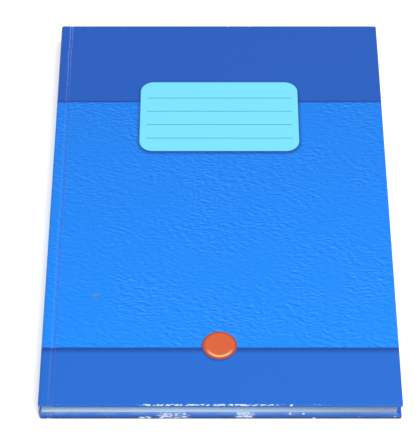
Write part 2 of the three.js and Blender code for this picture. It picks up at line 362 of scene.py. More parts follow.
@dataclass(frozen=True)
class PrintedCover(NodeWork):
    """Offset-printed art paper under a gloss film, stuck to the board.

    The film gives a clear, slightly soft gloss. The grain is printed, not pressed, so it shows as
    light and dark flecks that don't move with the light. Measures are millimetres on the flat
    sheet: across from the spine's outer face, and up from the tail edge. Pattern scales are per
    millimetre.
    """

    side: Side
    height: float

    # The three fields and the printed grain
    field_low: str = "0A87F6"
    field_high: str = "0C7EEB"
    top_band: PrintedBand = PrintedBand(193.3, 1.0, (0.4, 1.6), "124196", "1B5ABC")
    bottom_band: PrintedBand = PrintedBand(33.4, -1.0, (1.2, 3.6), "1048A0", "1C68CC")
    band_blur: float = 0.2
    grain_length: float = 2.7
    grain_width: float = 1.15
    grain_slant: float = -46.0
    grain_sway: Triple = (6.0, 6.0, 6.0)
    sway_scale: float = 0.07
    wrinkle_scale: float = 0.9
    cell_scale: float = 0.7
    cell_smoothness: float = 0.4
    grain_tint: Triple = (0.0042, 0.0142, 0.02)
    grain_contrast: float = 12.0
    grain_patches: Cloud = Cloud(0.03, 1.0, Ramp(0.35, 0.62, 0.6, 1.3))
    cell_share: float = 0.4
    lit_side: Triple = (0.36, 0.44, 0.0)
    dot_scale: float = 0.16
    dots: Ramp = Ramp(0.09, 0.04, high=3.0)

    # The label and the disc
    label: str = "79DFFB"
    label_rule: str = "4FA8C8"
    label_shadow: str = "123F94"
    label_centre: Pair = (85.0, 183.4)
    label_size: Pair = (82.3, 48.8)
    label_corner: float = 6.8
    label_edge: Ramp = Ramp(0.15, -0.15)
    shadow_drop: float = 1.0
    shadow_blur: Ramp = Ramp(2.4, -0.6, high=0.85)
    rule_heights: tuple[float, ...] = (196.35, 186.9, 177.4, 167.9)
    rule_span: Pair = (47.1, 123.1)
    rule_end: float = 0.3
    rule_stroke: Ramp = Ramp(0.35, 0.15)
    disc_centre: Pair = (84.8, 34.6)
    disc_radius: float = 8.3
    disc: str = "D45F36"
    disc_light: str = "FFBE90"
    disc_rim: str = "9C3E30"
    disc_edge: Pair = (0.1, -0.15)
    disc_shift: Pair = (0.35, 0.7)
    disc_blur: Pair = (0.7, -0.5)
    disc_shadow: float = 0.8
    dome_from: float = 0.8
    glint_from: float = 0.76
    glint_stroke: Ramp = Ramp(0.9, 0.15)
    glint_drop: Pair = (0.2, 0.65)
    glint_share: float = 0.9

    # Gloss, a smudge, worn film, and painted highlights, glints, light and shade
    haze: Cloud = Cloud(0.05, 3.0, Ramp(0.3, 0.7, 0.25, 0.36))
    film_index: float = 1.36
    smudge: str = "5E8A86"
    smudge_place: Pair = (25.1, 65.1)
    smudge_shape: Triple = (0.75, 1.1, 1.0)
    smudge_scale: float = 1.1
    smudge_edge: Ramp = Ramp(2.0, 1.0, high=0.75)
    # Joint lines: whitened film with painted highlights, and a painted shadow of the groove's wall
    whitening_and_highlight: str = "88AAF0"
    crease_places: tuple[float, ...] = (4.75, 6.05)
    crease_rise: Ramp = Ramp(186.0, 226.0, 0.1, 0.6)
    crease_end: Ramp = Ramp(242.0, 248.0, 1.0, 1.5)
    crease_width: Ramp = Ramp(0.26, 0.06)
    crease_breaks: Cloud = Cloud(0.35, 3.0, Ramp(0.35, 0.55, 0.5), spread=Spread.LINE)
    groove_wall_shadow: str = "6A70B4"
    groove_shadow_place: float = 6.9
    groove_shadow_fall: Ramp = Ramp(206.0, 166.0, high=0.45)
    wander_scale: float = 0.06
    wander_reach: float = 0.5
    # Whitish flecks of worn film along the edges, and painted glints where they crowd in the stretches
    wear_and_glint: str = "E4EEFA"
    # Painted light on the inner turn-in, and painted shade on the back cover's tail face
    turn_in_light: str = "B4CCF4"
    turn_in_light_rise: Ramp = Ramp(1.8, 4.2, high=0.6)
    tail_face_shade: str = "33426C"
    tail_shade_rise: Ramp = Ramp(2.1, 1.0, high=0.95)
    tail_shade_from: Ramp = Ramp(-0.45, -0.25)
    uneven: Cloud = Cloud(0.12, 3.0, Ramp(0.3, 0.7, 0.7, 1.1))
    ridge_depths: Pair = (-0.1, 1.6)
    ridge_width: Ramp = Ramp(0.9, 0.1)
    stretch_ends: Pair = (2.0, -1.5)
    fleck_shape: Triple = (0.55, 1.5, 1.0)
    fleck_patches: Cloud = Cloud(0.11, 1.0, Ramp(0.45, 0.65, -0.05, 0.05))
    fleck_gain: float = 0.26
    fleck_cut: Ramp = Ramp(0.7, 0.76, high=0.9)
    spot_scale: float = 1.4
    spot_gain: float = 1.5
    spot_cut: Ramp = Ramp(1.45, 1.25)
    # Stretches and spots of painted glints on the tail edge, with worn film at the spine's tail end;
    # the spot at the head is a nick
    front_glints_and_wear: tuple[GlintAndWearStretch, ...] = (
        GlintAndWearStretch(start=49.0, end=111.0, depth=-0.1, reach=0.8),
        GlintAndWearStretch(start=-5.0, end=1.5, depth=0.6, reach=1.4),
    )
    back_glints_and_wear: tuple[GlintAndWearStretch, ...] = (
        GlintAndWearStretch(start=56.0, end=71.0, depth=2.3, reach=2.6),
        GlintAndWearStretch(start=92.0, end=101.0, depth=3.0, reach=2.8),
        GlintAndWearStretch(start=46.0, end=53.0, depth=1.0, reach=0.9),
        GlintAndWearStretch(start=-5.0, end=1.5, depth=0.6, reach=1.4),
    )
    front_chips_and_glints: tuple[Pair, ...] = ((34.0, 250.1), (118.0, -0.05))
    back_chips_and_glints: tuple[Pair, ...] = ((4.3, -0.6), (117.8, -3.2), (124.0, -3.2), (128.8, -0.6))

    @property
    def name(self) -> str:
        """The material's name."""
        return f"laminated_print_{self.side.value}"

    @cached_property
    def beyond(self) -> Socket:
        """How far a place lies round the tail or head edge.

        Returns:
            The way from the edge in millimetres, below zero on the cover's face.
        """
        half = self.height / 2
        away = self.add("Math", {0: self.up, 1: half}, operation="SUBTRACT")
        away = self.add("Math", {0: away}, operation="ABSOLUTE")
        return self.add("Math", {0: away, 1: half}, operation="SUBTRACT")

    def grain_height(self, place: Socket) -> Socket:
        """Height of the leather grain that the artwork shows.

        Args:
            place: Place on the sheet in millimetres.

        Returns:
            The height, about 0 to 1.
        """
        sway = self.add("TexNoise", {"Vector": place, "Scale": self.sway_scale, "Detail": 2.0},
                        output="Color", noise_dimensions="2D")
        sway = self.add("VectorMath", {0: sway, 1: (0.5, 0.5, 0.5)}, operation="SUBTRACT")
        bent = self.add("VectorMath", {0: sway, 1: self.grain_sway, 2: place},
                        operation="MULTIPLY_ADD")
        streaks = self.add("Mapping", {
            "Vector": bent,
            "Rotation": (0, 0, math.radians(self.grain_slant)),
            "Scale": (1 / self.grain_length, 1 / self.grain_width, 1),
        })
        wrinkles = self.add(
            "TexNoise", {"Vector": streaks, "Scale": self.wrinkle_scale, "Detail": 1.0},
            noise_dimensions="2D",
        )
        cells = self.add(
            "TexVoronoi",
            {"Vector": streaks, "Scale": self.cell_scale, "Smoothness": self.cell_smoothness},
            voronoi_dimensions="2D", feature="SMOOTH_F1",
        )
        return self.add("Math", {0: cells, 1: self.cell_share, 2: wrinkles},
                        operation="MULTIPLY_ADD")

    def printed_grain(self) -> Socket:
        """Light and dark flecks of the printed grain, as if lit from the upper left.

        Returns:
            How much lighter than the plain ink, mostly between minus and plus 2.
        """
        moved = self.add("VectorMath", {0: self.place, 1: self.lit_side}, operation="ADD")
        heights = [self.grain_height(place) for place in (self.place, moved)]
        slope = self.add("Math", dict(enumerate(heights)), operation="SUBTRACT")
        patches = self.cloudy(self.place, self.grain_patches)
        slope = self.add("Math", {0: slope, 1: patches}, operation="MULTIPLY")
        dots = self.add("TexVoronoi", {"Vector": self.place, "Scale": self.dot_scale},
                        voronoi_dimensions="2D")
        dots = self.add("MapRange", self.dots.of(dots))
        return self.add("Math", {0: slope, 1: self.grain_contrast, 2: dots},
                        operation="MULTIPLY_ADD")

    def field(self) -> Socket:
        """The light field with its printed grain, which runs right round the case.

        Returns:
            The colour.
        """
        rise = self.add("MapRange", Ramp(self.bottom_band.edge, self.top_band.edge).of(self.up))
        ends = {UNDER: linear(self.field_low), OVER: linear(self.field_high)}
        plain = self.add("Mix", {0: rise, **ends}, output=MIXED, data_type="RGBA")
        return self.add("VectorMath", {0: self.printed_grain(), 1: self.grain_tint, 2: plain},
                        operation="MULTIPLY_ADD")

    def bands(self) -> list[Coat]:
        """The dark bands at head and tail, which hide the grain.

        Returns:
            Their coats.
        """
        coats: list[Coat] = []
        for band in (self.top_band, self.bottom_band):
            blur = band.way * self.band_blur
            held = self.add("MapRange", Ramp(band.edge - blur, band.edge + blur).of(self.up))
            start, end = (band.edge + band.way * fade for fade in band.fade)
            fade = self.add("MapRange", Ramp(start, end).of(self.up))
            ends = {UNDER: linear(band.shadow), OVER: linear(band.ink)}
            ink = self.add("Mix", {0: fade, **ends}, output=MIXED, data_type="RGBA")
            coats.append((held, ink))
        return coats

    def panel_distance(self, centre: Pair) -> Socket:
        """Distance from the edge of a panel the size of the label.

        Args:
            centre: The panel's centre.

        Returns:
            The distance in millimetres, below zero inside the panel.
        """
        reach = tuple(size / 2 - self.label_corner for size in self.label_size) + (0.0,)
        local = self.add("VectorMath", {0: self.place, 1: (*centre, 0.0)}, operation="SUBTRACT")
        local = self.add("VectorMath", {0: local}, operation="ABSOLUTE")
        local = self.add("VectorMath", {0: local, 1: reach}, operation="SUBTRACT")
        outside = self.add("VectorMath", {0: local, 1: (0.0, 0.0, 0.0)}, operation="MAXIMUM")
        length = self.add("VectorMath", {0: outside}, output="Value", operation="LENGTH")
        across = self.add("SeparateXYZ", {0: local})
        inside = self.add("Math", {0: across, 1: across.node.outputs["Y"]}, operation="MAXIMUM")
        inside = self.add("Math", {0: inside, 1: 0.0}, operation="MINIMUM")
        whole = self.add("Math", {0: length, 1: inside}, operation="ADD")
        return self.add("Math", {0: whole, 1: self.label_corner}, operation="SUBTRACT")

    def name_label(self) -> list[Coat]:
        """The pale label with its four rules and its printed shadow.

        Returns:
            Their coats.
        """
        across, up = self.label_centre
        shadow = self.panel_distance((across, up - self.shadow_drop))
        shadow = self.add("MapRange", self.shadow_blur.of(shadow), interpolation_type="SMOOTHSTEP")
        inside = self.add("MapRange", self.label_edge.of(self.panel_distance(self.label_centre)))
        coats: list[Coat] = [(shadow, self.label_shadow), (inside, self.label)]
        low, high = self.rule_span
        half = (high - low) / 2
        reach = self.stripe(self.across, low + half, Ramp(half, half - self.rule_end))
        for height in self.rule_heights:
            rule = self.stripe(self.up, height, self.rule_stroke)
            rule = self.add("Math", {0: rule, 1: reach}, operation="MULTIPLY")
            coats.append((rule, self.label_rule))
        return coats

    def badge(self) -> list[Coat]:
        """A plain printed disc with its shadow, shaded like a domed button.

        Returns:
            Their coats.
        """
        radius = self.disc_radius
        across, up = self.disc_centre
        right, down = self.disc_shift
        reach, shade = (
            self.add("VectorMath", {0: self.place, 1: (*middle, 0.0)}, output="Value",
                     operation="DISTANCE")
            for middle in (self.disc_centre, (across - right, up - down))
        )
        start, end = (radius + step for step in self.disc_blur)
        shade = self.add("MapRange", Ramp(start, end, high=self.disc_shadow).of(shade))
        dome = self.add("MapRange", Ramp(radius * self.dome_from, radius).of(reach),
                        interpolation_type="SMOOTHSTEP")
        arc = self.stripe(reach, radius * self.glint_from, self.glint_stroke,
                          interpolation_type="SMOOTHSTEP")
        start, end = (up - drop * radius for drop in self.glint_drop)
        lower = self.add("MapRange", Ramp(start, end, high=self.glint_share).of(self.up),
                         interpolation_type="SMOOTHSTEP")
        arc = self.add("Math", {0: arc, 1: lower}, operation="MULTIPLY")
        face = linear(self.disc)
        for share, tint in ((dome, self.disc_rim), (arc, self.disc_light)):
            face = self.add("Mix", {0: share, UNDER: face, OVER: linear(tint)}, output=MIXED,
                            data_type="RGBA")
        start, end = (radius + step for step in self.disc_edge)
        inside = self.add("MapRange", Ramp(start, end).of(reach))
        return [(shade, self.label_shadow), (inside, face)]

    def turned_edge(self) -> list[Coat]:
        """Film round the fold: painted light on the inner turn-in, and painted shade on the back's tail
        face.

        Returns:
            The painted light's coat, and on the back cover, which rests on tables, the painted shade's.
        """
        uneven = self.cloudy(self.place, self.uneven)
        # Painted light on the inner turn-in
        pale = self.add("MapRange", self.turn_in_light_rise.of(self.beyond))
        pale = self.add("Math", {0: pale, 1: uneven}, operation="MULTIPLY")
        coats: list[Coat] = [(pale, self.turn_in_light)]
        if self.side is Side.BACK:
            # Painted shade on the back cover's tail face
            tail_shade_share = self.add("MapRange", self.tail_shade_rise.of(self.beyond))
            on_edge = self.add("MapRange", self.tail_shade_from.of(self.beyond))
            for share in (on_edge, uneven):
                tail_shade_share = self.add("Math", {0: tail_shade_share, 1: share}, operation="MULTIPLY")
            coats.append((tail_shade_share, self.tail_face_shade))
        return coats

    def edge_wear_and_glints(self) -> Socket:
        """Whitish flecks along the tail and head edges: worn film, and painted glints in the stretches.

        Returns:
            The share of worn film and painted glints.
        """
        held: Socket | float = 0.0
        outer, inner = self.stretch_ends
        for stretch in self.front_glints_and_wear if self.side is Side.FRONT else self.back_glints_and_wear:
            half = (stretch.end - stretch.start) / 2
            along = self.stripe(self.across, stretch.start + half, Ramp(half + outer, half + inner))
            below = self.stripe(self.up, -stretch.depth, Ramp(stretch.reach, stretch.reach / 2))
            part = self.add("Math", {0: along, 1: below}, operation="MULTIPLY")
            held = self.add("Math", {0: part, 1: held}, operation="MAXIMUM")
        ridges = held
        for depth in self.ridge_depths:
            ridge = self.stripe(self.beyond, depth, self.ridge_width)
            ridges = self.add("Math", {0: ridges, 1: ridge}, operation="MAXIMUM")
        flecks = self.add("Mapping", {"Vector": self.place, "Scale": self.fleck_shape})
        flecks = self.add("TexNoise", {"Vector": flecks, "Scale": 1.0, "Detail": 4.0},
                          noise_dimensions="2D")
        patches = self.cloudy(self.place, self.fleck_patches)
        flecks = self.add("Math", {0: flecks, 1: patches}, operation="ADD")
        flecks = self.add("Math", {0: held, 1: self.fleck_gain, 2: flecks},
                          operation="MULTIPLY_ADD")
        flecks = self.add("MapRange", self.fleck_cut.of(flecks))
        return self.add("Math", {0: flecks, 1: ridges}, operation="MULTIPLY")

    def with_chips_and_glints(self, wear_and_glint_share: Socket) -> Socket:
        """Adds ragged spots to the flecks: a nick at the head, and painted glints on the tail edge.

        Args:
            wear_and_glint_share: The share of worn film and painted glints.

        Returns:
            The share with the nick and the painted glints.
        """
        ragged = self.add("TexNoise", {"Vector": self.place, "Scale": self.spot_scale, "Detail": 3.0},
                          noise_dimensions="2D")
        for spot_centre in self.front_chips_and_glints if self.side is Side.FRONT else self.back_chips_and_glints:
            spot_share = self.add("VectorMath", {0: self.place, 1: (*spot_centre, 0.0)},
                            operation="DISTANCE", output="Value")
            spot_share = self.add("Math", {0: ragged, 1: self.spot_gain, 2: spot_share},
                            operation="MULTIPLY_ADD")
            spot_share = self.add("MapRange", self.spot_cut.of(spot_share))
            wear_and_glint_share = self.add("Math", {0: wear_and_glint_share, 1: spot_share}, operation="MAXIMUM")
        return wear_and_glint_share

    def joint_highlights_and_shadow(self) -> list[Coat]:
        """Lines in the joint: two light ones near the head, and a faint dark one below.

        The light ones are whitened film with painted highlights on the groove's edges; the dark one is
        painted shadow of the groove's wall.

        Returns:
            Their coats.
        """
        wander = self.add("TexNoise", {"W": self.up, "Scale": self.wander_scale, "Detail": 2.0},
                          noise_dimensions="1D")
        wander = self.add("Math", {0: wander, 1: 0.5}, operation="SUBTRACT")
        line = self.add("Math", {0: wander, 1: self.wander_reach, 2: self.across},
                        operation="MULTIPLY_ADD")
        broken = self.cloudy(self.up, self.crease_breaks)
        rising, at_head, below = (
            self.add("MapRange", ramp.of(self.up))
            for ramp in (self.crease_rise, self.crease_end, self.groove_shadow_fall)
        )
        near_head = self.add("Math", {0: rising, 1: at_head}, operation="MULTIPLY")
        creases = [(crossing, near_head, self.whitening_and_highlight) for crossing in self.crease_places]
        coats: list[Coat] = []
        # Painted highlights on the groove's edges, and the painted shadow of its wall
        for crossing, strength, tint in (*creases, (self.groove_shadow_place, below, self.groove_wall_shadow)):
            mark = self.stripe(line, crossing, self.crease_width)
            for share in (strength, broken):
                mark = self.add("Math", {0: mark, 1: share}, operation="MULTIPLY")
            coats.append((mark, tint))
        return coats

    def dull_smudge(self) -> Coat:
        """The one dull smudge of the field.

        Returns:
            Its coat.
        """
        spot = self.add("VectorMath", {0: self.place, 1: (*self.smudge_place, 0.0)},
                        operation="SUBTRACT")
        spot = self.add("VectorMath", {0: spot, 1: self.smudge_shape}, operation="MULTIPLY")
        spot = self.add("VectorMath", {0: spot}, output="Value", operation="LENGTH")
        ragged = self.add("TexNoise", {"Vector": self.place, "Scale": self.smudge_scale},
                          noise_dimensions="2D")
        spot = self.add("Math", {0: spot, 1: ragged}, operation="ADD")
        spot = self.add("MapRange", self.smudge_edge.of(spot), interpolation_type="SMOOTHSTEP")
        return (spot, self.smudge)

    def build(self) -> Material:
        """Makes the printed sheet's material; label, disc, joint lines and smudge are on the front.

        Returns:
            The material.
        """
        is_front = self.side is Side.FRONT
        coats = self.bands()
        if is_front:
            coats += [*self.name_label(), *self.badge()]
        coats += [*self.turned_edge(), (self.with_chips_and_glints(self.edge_wear_and_glints()), self.wear_and_glint)]
        if is_front:
            coats += [*self.joint_highlights_and_shadow(), self.dull_smudge()]
        haze = self.cloudy(self.place, self.haze)
        return self.finish(self.field(), coats, {"Roughness": haze, "IOR": self.film_index})


@dataclass(frozen=True)
class WritingPaper(NodeWork):
    """Uncoated wood-free paper, offset-ruled in pale ink.

    The calendered fibres leave it matt, with a faint cloudiness.
    """

    name: str = "wood_free_paper"
    colour: str = "F1F3F2"
    cloud: str = "E6E9EA"
    clouds: Cloud = Cloud(0.5, 4.0, Ramp(0.35, 0.7), roughness=0.7)
    rule: str = "9DBFE0"
    margin: str = "E39AA4"
    is_ruled: bool = True
    rule_pitch: float = 8.0
    rule_from: float = 14.0
    rule_to: float = 222.0
    rule_stroke: Ramp = Ramp(0.255, 0.095)
    margin_place: float = 32.0
    margin_stroke: Ramp = Ramp(0.275, 0.115)
    roughness: float = 0.9
    index: float = 1.45
    relief: Pair = (0.3, 0.02)

    def build(self) -> Material:
        """Makes the paper's material.

        Returns:
            The material.
        """
        clouds = self.cloudy(self.place, self.clouds)
        coats: list[Coat] = [(clouds, self.cloud)]
        if self.is_ruled:
            coats += self.ruling()
        return self.finish(self.colour, coats, {"Roughness": self.roughness, "IOR": self.index},
                           relief=(clouds, *self.relief))

    def ruling(self) -> list[Coat]:
        """Rules across the page and one margin line.

        Returns:
            Their coats.
        """
        row = self.add("Math", {0: self.up, 1: self.rule_from}, operation="SUBTRACT")
        row = self.add("Math", {0: row, 1: self.rule_pitch / 2}, operation="PINGPONG")
        rules = self.add("MapRange", self.rule_stroke.of(row))
        half = (self.rule_to - self.rule_from) / 2
        page = self.stripe(self.up, self.rule_from + half, Ramp(half + 1, half + 0.5))
        rules = self.add("Math", {0: rules, 1: page}, operation="MULTIPLY")
        margin = self.stripe(self.across, self.margin_place, self.margin_stroke)
        return [(rules, self.rule), (margin, self.margin)]


@dataclass(frozen=True)
class CutEdge(NodeWork):
    """Guillotined edges of the paper: matt, with painted shade between the sheets, darker to the fore
    edge.

    The pale blue is painted reflection of the blue cover. On the block, which lies still, the edge
    is darker towards the front cover: painted shade under the cover's overhang. A single sheet gets
    an even share of that darker colour, and is placed by its own map, because it bends. A streak is
    about as thick as a sheet, so that the separate sheets show.
    """

    is_mapped: bool
    # The pale blue of these colours is painted reflection of the blue cover
    colour: str = "CAF0FF"
    shade: str = "A0CAF2"
    # Darker towards the fore edge
    fore_darkening: str = "7E9CBE"
    dust_and_shade: str = "566C92"
    streaks: Cloud = Cloud(1.0, 2.0, Ramp(0.4, 0.65), spread=Spread.SOLID)
    block_streaks: Triple = (50, 50, 12000)
    block_fore: Ramp = Ramp(0.0, 85 * MM, high=0.75)
    # Painted shade under the front cover's overhang, darker towards the front cover
    block_cover_shade: Ramp = Ramp(2.9 * MM, 5.9 * MM, high=0.85)
    sheet_streaks: Triple = (0.05, 0.05, 1)
    sheet_fore: Ramp = Ramp(85.0, 170.0, high=0.75)
    sheet_dust: float = 0.3
    roughness: float = 0.85

    @property
    def name(self) -> str:
        """The material's name."""
        return "guillotined_sheet_edge" if self.is_mapped else "guillotined_edge"

    def build(self) -> Material:
        """Makes the cut edge's material.

        Returns:
            The material.
        """
        if self.is_mapped:
            scale, towards_fore, dust_and_shade_share = self.sheet_streaks, self.sheet_fore, self.sheet_dust
        else:
            scale, towards_fore = self.block_streaks, self.block_fore
            # On the block, painted shade darker towards the front cover
            dust_and_shade_share = self.add("MapRange", self.block_cover_shade.of(self.across.node.outputs["Z"]))
        along = self.add("Mapping", {"Vector": self.place, "Scale": scale})
        fore = self.add("MapRange", towards_fore.of(self.across))
        coats = [(self.cloudy(along, self.streaks), self.shade), (fore, self.fore_darkening),
                 (dust_and_shade_share, self.dust_and_shade)]
        return self.finish(self.colour, coats, {"Roughness": self.roughness})


@dataclass(frozen=True)
class PressedBoard(NodeWork):
    """Greyboard: waste paper pulp pressed flat, matt, with darker and lighter fibres in it.

    The fibres are drawn about 1.4 by 0.45 mm, coarser than the real ones, so that they show.
    """

    name: str = "pressed_greyboard"
    is_mapped: bool = False
    colour: str = "98938A"
    dark: str = "78736B"
    light: str = "B4AFA5"
    fibre_scale: Triple = (700, 2200, 2200)
    darker: Ramp = Ramp(0.5, 0.66)
    lighter: Ramp = Ramp(0.42, 0.3)
    roughness: float = 0.95
    relief: Pair = (0.5, 0.05)

    def build(self) -> Material:
        """Makes the board's material.

        Returns:
            The material.
        """
        along = self.add("Mapping", {"Vector": self.place, "Scale": self.fibre_scale})
        fibres = self.add("TexNoise", {"Vector": along, "Scale": 1.0, "Detail": 4.0,
                                       "Roughness": 0.7})
        coats = [(self.add("MapRange", ramp.of(fibres)), tint)
                 for ramp, tint in ((self.darker, self.dark), (self.lighter, self.light))]
        return self.finish(self.colour, coats, {"Roughness": self.roughness},
                           relief=(fibres, *self.relief))


@dataclass(frozen=True)
class StarchedGauze(NodeWork):
    """Mull: open cotton gauze, starched and glued, so the glue shows darker between threads."""

    name: str = "starched_gauze"
    is_mapped: bool = False
    thread: str = "E9E4D4"
    gap: str = "B3A78C"
    pitch: float = 1.1
    strands: Ramp = Ramp(0.1, 0.6)
    roughness: float = 0.9
    relief: Pair = (0.8, 0.1)

    def build(self) -> Material:
        """Makes the gauze's material.

        Returns:
            The material.
        """
        turns = 2 * math.pi / (self.pitch * MM)
        round_way = self.add("Math", {0: self.across, 1: self.across.node.outputs["Z"]},
                             operation="ADD")
        waves = [self.add("Math", {0: way, 1: turns}, operation="MULTIPLY")
                 for way in (self.up, round_way)]
        waves = [self.add("Math", {0: wave}, operation="SINE") for wave in waves]
        threads = self.add("Math", dict(enumerate(waves)), operation="MAXIMUM")
        threads = self.add("MapRange", self.strands.of(threads))
        return self.finish(self.gap, [(threads, self.thread)], {"Roughness": self.roughness},
                           relief=(threads, *self.relief))


@dataclass(frozen=True)
class KraftPaper(NodeWork):
    """Unbleached kraft paper, machine-glazed to a dull sheen, with brown fibres along the spine.

    The fibres have their real length of about 3 mm, and are drawn 0.25 mm thick so that they show.
    """

    name: str = "kraft_paper"
    is_mapped: bool = False
    colour: str = "B88F60"
    dark: str = "9C7446"
    fibre_scale: Triple = (4000, 350, 4000)
    fibres: Cloud = Cloud(1.0, 3.0, Ramp(0.4, 0.65), spread=Spread.SOLID)
    roughness: float = 0.8

    def build(self) -> Material:
        """Makes the kraft paper's material.

        Returns:
            The material.
        """
        along = self.add("Mapping", {"Vector": self.place, "Scale": self.fibre_scale})
        coats = [(self.cloudy(along, self.fibres), self.dark)]
        return self.finish(self.colour, coats, {"Roughness": self.roughness})


@dataclass(frozen=True)
class TwistedThread(NodeWork):
    """Bookbinder's linen thread: plies twisted together, waxed, so it has a dull sheen."""

    name: str = "waxed_linen_thread"
    is_mapped: bool = False
    colour: str = "F2EEE2"
    groove: str = "CFC8B4"
    twist: float = 0.6
    slant: Triple = (1.6, 1.0, 1.6)
    round_ply: Ramp = Ramp(-1.0, 0.2)
    roughness: float = 0.6
    relief: Pair = (0.6, 0.04)

    def build(self) -> Material:
        """Makes the thread's material.

        Returns:
            The material.
        """
        plies = self.add("VectorMath", {0: self.place, 1: self.slant}, output="Value",
                         operation="DOT_PRODUCT")
        plies = self.add("Math", {0: plies, 1: 2 * math.pi / (self.twist * MM)},
                         operation="MULTIPLY")
        plies = self.add("Math", {0: plies}, operation="SINE")
        plies = self.add("MapRange", self.round_ply.of(plies))
        return self.finish(self.groove, [(plies, self.colour)], {"Roughness": self.roughness},
                           relief=(plies, *self.relief))


class Stock(NamedTuple):
    """A paper's two materials, for its face and for its cut edge."""

    face: Material
    edge: Material


def place_object(name: str, bm: Mesh, *materials: Material) -> Piece:
    """Turns a finished bmesh into an object of the scene.

    Args:
        name: The piece's name.
        bm: Its mesh, in millimetres with x from the spine; it is freed.
        materials: Its materials in slot order.

    Returns:
        The object, in metres in the book's frame.
    """
    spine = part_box("spine_wrap")[0].x
    bmesh.ops.scale(bm, vec=(MM, MM, MM), verts=bm.verts)
    bmesh.ops.translate(bm, vec=(spine, 0, 0), verts=bm.verts)
    for face in bm.faces:
        face.smooth = True
    for edge in bm.edges:
        edge.smooth = not edge.is_boundary
    mesh = bpy.data.meshes.new(name)
    bm.to_mesh(mesh)
    bm.free()
    for material in materials:
        mesh.materials.append(material)
    piece = bpy.data.objects.new(name, mesh)
    bpy.context.scene.collection.objects.link(piece)
    return piece


def write_map(bm: Mesh, places: dict[Vert, Pair]) -> None:
    """Writes each vertex's place on the flat sheet to the sheet's map.

    Args:
        bm: The mesh.
        places: Millimetres across and up, by vertex.
    """
    layer = bm.loops.layers.uv.new(SHEET_MAP)
    for face in bm.faces:
        for loop in face.loops:
            loop[layer].uv = places[loop.vert]


def thicken(piece: Piece, thickness: float, offset: float, rim: int = 0) -> None:
    """Gives a sheet its thickness with a live modifier.

    Args:
        piece: The sheet.
        thickness: In millimetres.
        offset: Minus one to grow behind the face, zero to grow to both sides.
        rim: How many slots further on the cut edge's material is.
    """
    solid = piece.modifiers.new("sheet_thickness", "SOLIDIFY")
    solid.thickness = thickness * MM
    solid.offset = offset
    solid.use_even_offset = True
    solid.material_offset_rim = rim


def stations(start: float, *runs: Pair) -> list[float]:
    """Stations along a line, close together where it bends.

    Args:
        start: The first station.
        runs: For each run its end, and about how far apart its stations are.

    Returns:
        The stations, the last run's end included.
    """
    found = []
    for end, pitch in runs:
        count = max(1, round(abs(end - start) / pitch))
        found += [start + (end - start) * index / count for index in range(count)]
        start = end
    return [*found, start]


def smooth_step(value: float, start: float, end: float) -> float:
    """Rises from 0 at start to 1 at end, level at both."""
    share = min(1.0, max(0.0, (value - start) / (end - start)))
    return share * share * (3 - 2 * share)


def stretch_grid(bm: Mesh, across: list[float], up: list[float]) -> list[Vert]:
    """Makes a grid with chosen stations.

    Args:
        bm: The mesh to add it to.
        across: Stations along x, rising.
        up: Stations along y, rising.

    Returns:
        The grid's vertices.
    """
    made = bmesh.ops.create_grid(bm, x_segments=len(across) - 1, y_segments=len(up) - 1, size=0.5)
    for vert in made["verts"]:
        column = round((vert.co.x + 0.5) * (len(across) - 1))
        row = round((vert.co.y + 0.5) * (len(up) - 1))
        vert.co = Vector((across[column], up[row], 0.0))
    return made["verts"]


